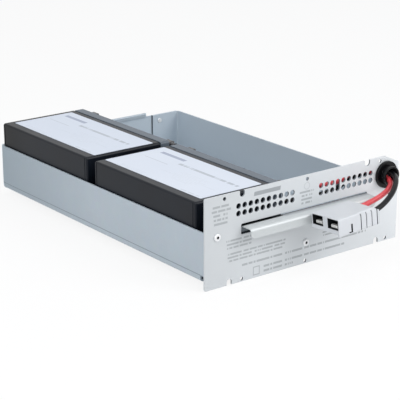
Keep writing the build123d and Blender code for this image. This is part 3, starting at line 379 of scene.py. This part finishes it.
def label_film():
    finish = Finish("label_film", linear(212, 219, 233), 0.32, coat=0.2)
    x, y = finish.axes()[:2]
    from_end = ((REAR_BATTERY_END - y) / BATTERY_STEP).fraction() * BATTERY_STEP
    cloud = finish.noise(18.0, 2.0)
    film = finish.mix(linear(198, 208, 224), linear(213, 220, 232), cloud * 0.7 + (y < 0.0) * 0.3)
    bold = bar(from_end, x, (15.5, 51.5), (-45.6, -41.0))
    large = rows_of_print(finish, from_end, x, (55.0, 139.0), -52.8, 20.0, 1, 3.6)
    rule = bar(from_end, x, (15.0, 50.0), (-62.6, -61.8))
    small = rows_of_print(finish, from_end, x, (54.0, 138.0), -83.0, 2.6, 8, 1.0, 30.0)
    outer = rows_of_print(finish, from_end, x, (114.0, 140.0), -95.5, 20.0, 1, 1.8)
    inner = rows_of_print(finish, from_end, x, (15.0, 66.0), -95.0, 2.6, 2, 0.9, 8.0)
    film = finish.mix(film, linear(118, 130, 160), bold * 0.75)
    film = finish.mix(film, linear(150, 158, 168), (large * 0.7).or_more(rule * 0.6))
    film = finish.mix(film, linear(168, 176, 184), (small * 0.16).or_more(outer * 0.4).or_more(inner * 0.25))
    finish.set("Base Color", film)
    finish.set("Roughness", 0.3 + cloud * 0.1)
    return finish.material


def black_rubber():
    finish = Finish("black_rubber", linear(16, 16, 18), 0.3, coat=0.25)
    finish.set("Specular IOR Level", 0.08)
    grain = finish.noise(1300.0, 3.0)
    cloud = finish.noise(240.0, 2.0)
    finish.set("Base Color", finish.mix(linear(7, 7, 9), linear(18, 18, 20), cloud))
    finish.set("Roughness", 0.2 + grain * 0.2)
    finish.bump(grain, 0.2, 0.00006)
    return finish.material


def insulation(name, dark, light, gloss, coat):
    finish = Finish(name, light, 0.3, coat=coat)
    finish.set("Specular IOR Level", gloss)
    streak = finish.noise(420.0, 3.0)
    finish.set("Base Color", finish.mix(dark, light, streak))
    finish.set("Roughness", 0.24 + streak * 0.14)
    finish.bump(streak, 0.12, 0.00008)
    return finish.material


def connector_plastic():
    finish = Finish("connector_plastic", linear(198, 201, 206), 0.4)
    grain = finish.noise(1200.0, 3.0)
    cloud = finish.noise(60.0, 2.0)
    shell = finish.mix(linear(192, 196, 201), linear(206, 209, 213), cloud)
    along, across, depth = connector_axes(finish)
    first, second = [across.between(*span) for span in MOUTHS_ACROSS]
    # painted shade: the insides of the openings are made dark
    mouth_shade = (first + second) * bar(along, depth, MOUTH_ALONG, MOUTH_DOWN)
    upright = bar(along, depth, NOTCH_ALONG, NOTCH_DOWN)
    foot = bar(along, depth, NOTCH_FOOT_ALONG, NOTCH_FOOT_DOWN)
    # painted shade: the notch is made dark
    notch_shade = upright.or_more(foot) * (across > NOTCH_FLOOR)
    from_groove = ((along - FIRST_GROOVE) / GROOVE_PITCH).fraction()
    # painted shade: the grooves are darkened
    groove_shade = (from_groove < GROOVE_SHARE) * (along > FIRST_GROOVE - 0.2) * across.between(*GROOVE_ACROSS)
    # painted light: the housing's side face towards the front is lightened
    shell = finish.mix(shell, linear(222, 224, 228), (across > LIT_SIDE_FROM) * 0.3)
    shell = finish.mix(shell, linear(30, 33, 36), mouth_shade)
    shell = finish.mix(shell, linear(40, 43, 46), notch_shade)
    shell = finish.mix(shell, linear(88, 92, 97), groove_shade)
    finish.set("Base Color", shell)
    finish.set("Roughness", 0.34 + grain * 0.14)
    finish.bump(grain, 0.15, 0.00005)
    return finish.material


def connector_axes(finish):
    """Millimetres along, across and down into the tilted connector, from its top left corner."""
    roll, pitch = radians(CONNECTOR_ROLL), radians(CONNECTOR_PITCH)
    corner = Vector(CONNECTOR_CORNER) * MM
    along = Vector((cos(pitch), 0, sin(pitch)))
    normal = Vector((-sin(pitch) * cos(roll), sin(roll), cos(pitch) * cos(roll)))
    rearward = normal.cross(along)
    offset = finish.node("ShaderNodeVectorMath", {"operation": "SUBTRACT"}, {0: finish.place(), 1: corner})
    parts = []
    for direction in (along, -rearward, -normal):
        inputs = {0: offset, 1: direction / MM}
        parts.append(finish.node("ShaderNodeVectorMath", {"operation": "DOT_PRODUCT"}, inputs, 1))
    return parts


def plated_metal(name, dark, light, roughness):
    finish = Finish(name, light, roughness, metallic=1.0)
    grain = finish.noise(800.0, 2.0)
    finish.set("Base Color", finish.mix(dark, light, grain))
    finish.set("Roughness", roughness + grain * 0.12)
    return finish.material


def contact_plate():
    """Bright at the tip, with painted shade darkening it further in."""
    finish = Finish("contact_plate", linear(226, 226, 224), 0.25, metallic=0.6)
    along = connector_axes(finish)[0]
    grain = finish.noise(800.0, 2.0)
    plate = finish.mix(linear(205, 205, 203), linear(240, 239, 236), grain)
    finish.set("Base Color", finish.mix(plate, linear(58, 59, 61), along > BRIGHT_TIP))
    finish.set("Roughness", 0.25 + grain * 0.12)
    return finish.material


def boot_vinyl():
    finish = Finish("boot_vinyl", linear(30, 31, 35), 0.36, coat=0.2)
    cloud = finish.noise(260.0, 2.0)
    finish.set("Base Color", finish.mix(linear(22, 23, 26), linear(44, 45, 50), cloud))
    finish.set("Roughness", 0.3 + cloud * 0.14)
    return finish.material


def adhesive_foam():
    finish = Finish("adhesive_foam", linear(216, 216, 210), 0.85)
    grain = finish.noise(1600.0, 4.0)
    finish.set("Base Color", finish.mix(linear(196, 196, 190), linear(228, 228, 222), grain))
    finish.bump(grain, 0.4, 0.0001)
    return finish.material


ZINC = zinc_sheet()
PANEL = panel_paint()
HANDLE = handle_paint()
RIVET = rivet_metal()
CASE = case_plastic()
LID = lid_plastic()
LABEL = label_film()
RUBBER = black_rubber()
RED = insulation("red_insulation", linear(188, 40, 50), linear(226, 78, 86), 0.3, 0.4)
BLACK = insulation("black_insulation", linear(9, 9, 12), linear(22, 22, 26), 0.08, 0.2)
HOUSING = connector_plastic()
CONTACT = contact_plate()
SPRING = plated_metal("spring_strip", linear(120, 122, 124), linear(190, 192, 194), 0.3)
TERMINAL = plated_metal("tin_plate", linear(150, 146, 136), linear(205, 200, 188), 0.35)
BOOT = boot_vinyl()
FOAM = adhesive_foam()


# Modelling helpers

def deselect():
    if bpy.context.object and bpy.context.object.mode != "OBJECT":
        bpy.ops.object.mode_set(mode="OBJECT")
    bpy.ops.object.select_all(action="DESELECT")


def pick(piece):
    """Leaves only this piece selected and active."""
    deselect()
    piece.select_set(True)
    bpy.context.view_layer.objects.active = piece


def dress(piece, material, slot, *nodes):
    """Gives a finished piece its material and its place in the frame."""
    piece.data.materials.clear()
    piece.data.materials.append(material)
    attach(piece, "root")
    if nodes:
        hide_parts(*nodes)
    return piece


def eased_copy(node, edge_radius, material, slot, flat_merge=True):
    """The node's own form, welded, with every sharp edge eased."""
    original = frame["nodes"][node]
    piece = original.copy()
    piece.data = original.data.copy()
    piece.name = node + "_eased"
    piece.parent = None
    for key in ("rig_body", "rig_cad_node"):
        del piece[key]
    bpy.context.scene.collection.objects.link(piece)
    pick(piece)
    bpy.ops.object.mode_set(mode="EDIT")
    bpy.ops.mesh.select_all(action="SELECT")
    bpy.ops.mesh.remove_doubles(threshold=0.000001)
    if flat_merge:
        bpy.ops.mesh.dissolve_limited(angle_limit=radians(0.4))
    bpy.ops.object.mode_set(mode="OBJECT")
    bevel = piece.modifiers.new("eased_edges", "BEVEL")
    bevel.width = edge_radius
    bevel.segments = 2
    bevel.limit_method = "ANGLE"
    bevel.angle_limit = radians(32)
    bevel.harden_normals = False
    bpy.ops.object.modifier_apply(modifier=bevel.name)
    bpy.ops.object.shade_smooth_by_angle(angle=radians(32))
    flat_faces = piece.modifiers.new("flat_faces", "WEIGHTED_NORMAL")
    flat_faces.keep_sharp = True
    bpy.ops.object.modifier_apply(modifier=flat_faces.name)
    return dress(piece, material, slot, node)


# Camera, seen from the front and the left, a little above
CAMERA_PLACE = Vector((-0.78465, -1.0324, 0.4458))
CAMERA_AZIMUTH = radians(-37.51)
CAMERA_ELEVATION = radians(18.34)
deselect()
bpy.ops.object.camera_add(location=CAMERA_PLACE)
camera = bpy.context.object
camera.name = "camera"
level = cos(CAMERA_ELEVATION)
look = Vector((-sin(CAMERA_AZIMUTH) * level, cos(CAMERA_AZIMUTH) * level, -sin(CAMERA_ELEVATION)))
camera.rotation_euler = look.to_track_quat("-Z", "Y").to_euler()
camera.data.lens = 128.66
camera.data.sensor_width = 36
camera.data.clip_end = 20
bpy.context.scene.camera = camera

# Leads, in metres: X from the middle, Y from the panel's front face, Z from the panel's lower edge
PANEL_FRONT = PANEL_FACE * MM
LEAD_DIAMETER = 4.8 * MM
RED_ROUTE = (
    (0.00800, 0.02710, 0.06600),
    (0.01600, 0.02710, 0.06600),
    (0.02450, 0.02660, 0.06180),
    (0.03350, 0.02440, 0.05850),
    (0.04300, 0.02190, 0.05800),
    (0.05250, 0.02020, 0.05880),
    (0.06150, 0.01950, 0.06090),
    (0.07000, 0.01850, 0.06680),
    (0.07840, 0.01600, 0.06740),
    (0.08590, 0.01180, 0.06560),
    (0.09110, 0.00560, 0.06460),
    (0.09250, -0.00360, 0.06210),
    (0.08950, -0.01200, 0.06090),
    (0.08310, -0.01830, 0.05930),
    (0.07470, -0.02220, 0.05700),
    (0.06450, -0.02400, 0.05440),
    (0.05480, -0.02380, 0.05200),
    (0.04760, -0.02290, 0.05000),
    (0.04140, -0.02170, 0.04860),
    (0.03520, -0.02110, 0.04800),
)
BLACK_ROUTE = (
    (-0.00750, 0.30880, 0.06600),
    (-0.00750, 0.29600, 0.06600),
    (-0.00690, 0.27900, 0.06120),
    (-0.00590, 0.26200, 0.05220),
    (-0.00510, 0.24550, 0.04350),
    (-0.00440, 0.22880, 0.03450),
    (-0.00360, 0.21110, 0.02600),
    (-0.00240, 0.19200, 0.01920),
    (-0.00040, 0.17260, 0.01460),
    (0.00340, 0.15350, 0.01260),
    (0.00960, 0.13500, 0.01300),
    (0.01800, 0.11750, 0.01540),
    (0.02840, 0.10150, 0.01940),
    (0.03960, 0.08690, 0.02400),
    (0.05060, 0.07330, 0.02880),
    (0.06120, 0.06060, 0.03340),
    (0.07060, 0.04920, 0.03820),
    (0.07700, 0.04100, 0.04480),
    (0.08160, 0.03440, 0.05340),
    (0.08600, 0.02720, 0.05760),
    (0.09100, 0.01860, 0.06120),
    (0.09480, 0.00920, 0.06430),
    (0.09640, -0.00040, 0.06560),
    (0.09530, -0.00940, 0.06600),
    (0.09060, -0.01740, 0.06480),
    (0.08320, -0.02460, 0.06240),
    (0.07350, -0.03120, 0.05910),
    (0.06200, -0.03640, 0.05550),
    (0.05140, -0.03930, 0.05240),
    (0.04240, -0.04020, 0.05020),
    (0.03500, -0.03990, 0.04920),
)


def lead(name, route):
    """A round lead on one smooth line through its route."""
    curve = bpy.data.curves.new(name, "CURVE")
    curve.dimensions = "3D"
    curve.bevel_depth = LEAD_DIAMETER / 2
    curve.bevel_resolution = 5
    curve.resolution_u = 8
    curve.use_fill_caps = True
    spline = curve.splines.new("NURBS")
    spline.points.add(len(route) - 1)
    for point, (x, y, z) in zip(spline.points, route):
        point.co = (x, y + PANEL_FRONT, z, 1.0)
    spline.order_u = 3
    spline.use_endpoint_u = True
    piece = bpy.data.objects.new(name, curve)
    bpy.context.scene.collection.objects.link(piece)
    return piece


connector = [
    eased_copy("connector_housing", 0.2 * MM, HOUSING, "connector_plastic", flat_merge=False),
    eased_copy("red_contact", 0.25 * MM, CONTACT, "silvered_contact"),
    eased_copy("black_contact", 0.25 * MM, CONTACT, "silvered_contact"),
    eased_copy("red_contact_spring", 0.1 * MM, SPRING, "spring_steel"),
    eased_copy("black_contact_spring", 0.1 * MM, SPRING, "spring_steel"),
]
for name, route, material, slot, length, on_it in (
    ("red_lead", RED_ROUTE, RED, "red_insulation", 0.170, [connector[0], connector[1], connector[3]]),
    ("black_lead", BLACK_ROUTE, BLACK, "black_insulation", 0.443, [connector[2], connector[4]]),
):
    piece = dress(lead(name + "_line", route), material, slot, name)
    start = (route[0][0], route[0][1] + PANEL_FRONT, route[0][2])

# Steelwork
eased_copy("tray", 0.25 * MM, ZINC, "galvanised_steel")
eased_copy("front_panel", 0.2 * MM, PANEL, "panel_steel")
eased_copy("pull_handle", 0.25 * MM, HANDLE, "handle_steel")
eased_copy("panel_rivets", 0.2 * MM, RIVET, "rivet_metal")
eased_copy("rear_rivets", 0.1 * MM, RIVET, "rivet_metal")
eased_copy("cable_grommet", 0.6 * MM, RUBBER, "black_rubber")
eased_copy("mounting_tape", 0.1 * MM, FOAM, "foam_tape")
eased_copy("jumper_lead", 0.2 * MM, BLACK, "black_insulation")

# Batteries
for battery in ("front_battery", "rear_battery"):
    eased_copy(battery + "_case", 0.3 * MM, CASE, "case_plastic")
    eased_copy(battery + "_lid", 0.3 * MM, LID, "lid_plastic")
    eased_copy(battery + "_vent_strip", 0.25 * MM, LID, "lid_plastic")
    eased_copy(battery + "_label", 0.08 * MM, LABEL, "label_paper")
    for pole in ("positive", "negative"):
        terminal = battery + "_" + pole
        eased_copy(terminal + "_tab", 0.1 * MM, TERMINAL, "tinned_brass")
        eased_copy(terminal + "_receptacle", 0.2 * MM, TERMINAL, "tinned_brass")
        eased_copy(terminal + "_boot", 0.3 * MM, BOOT, "boot_vinyl")

# Floor, world and lamps
deselect()
bpy.ops.mesh.primitive_plane_add(size=8.0, location=(0, 0, -0.0002))
floor = bpy.context.object
floor.name = "floor"
ground = Finish("pale_floor", (0.9, 0.9, 0.9), 0.9)
seen = ground.node("ShaderNodeLightPath", output="Is Camera Ray")
mirrored = ground.node("ShaderNodeLightPath", output="Is Glossy Ray")
white_glow = ground.node("ShaderNodeEmission", None, {"Strength": 1.0})
lit = Socket(ground, ground.surface.outputs[0])
shares = {0: seen.or_more(mirrored) * FLOOR_GLOW, 1: lit, 2: white_glow}
blended = ground.node("ShaderNodeMixShader", None, shares)
ground.tree.links.new(blended.output, ground.tree.nodes["Material Output"].inputs["Surface"])
floor.data.materials.append(ground.material)

world = bpy.data.worlds.new("studio")
bpy.context.scene.world = world
world.use_nodes = True
nodes = world.node_tree.nodes
nodes.clear()
paths = nodes.new("ShaderNodeLightPath")
either = nodes.new("ShaderNodeMath")
either.operation = "MAXIMUM"
soft = nodes.new("ShaderNodeBackground")
soft.inputs["Color"].default_value = (0.95, 0.97, 1.0, 1.0)
soft.inputs["Strength"].default_value = AMBIENT
white = nodes.new("ShaderNodeBackground")
white.inputs["Color"].default_value = (1.0, 1.0, 1.0, 1.0)
white.inputs["Strength"].default_value = 1.0
blend = nodes.new("ShaderNodeMixShader")
output = nodes.new("ShaderNodeOutputWorld")
links = world.node_tree.links
links.new(paths.outputs["Is Camera Ray"], either.inputs[0])
links.new(paths.outputs["Is Glossy Ray"], either.inputs[1])
links.new(either.outputs[0], blend.inputs[0])
links.new(soft.outputs[0], blend.inputs[1])
links.new(white.outputs[0], blend.inputs[2])
links.new(blend.outputs[0], output.inputs[0])


def soft_lamp(name, place, aim, size, watts):
    """A square area lamp that points at a spot on the object."""
    deselect()
    bpy.ops.object.light_add(type="AREA", location=place)
    lamp = bpy.context.object
    lamp.name = name
    lamp.data.size = size
    lamp.data.energy = watts
    direction = Vector(aim) - Vector(place)
    lamp.rotation_euler = direction.to_track_quat("-Z", "Y").to_euler()


soft_lamp("front_lamp", (0.7, -1.25, 1.0), (0.0, -0.05, 0.04), 1.0, 13.0)
soft_lamp("left_lamp", (-1.2, -0.5, 0.95), (0.0, 0.0, 0.04), 0.8, 9.0)
soft_lamp("top_lamp", (0.2, 0.3, 1.6), (0.0, 0.0, 0.04), 1.2, 4.0)
bpy.context.scene.view_settings.view_transform = "Standard"
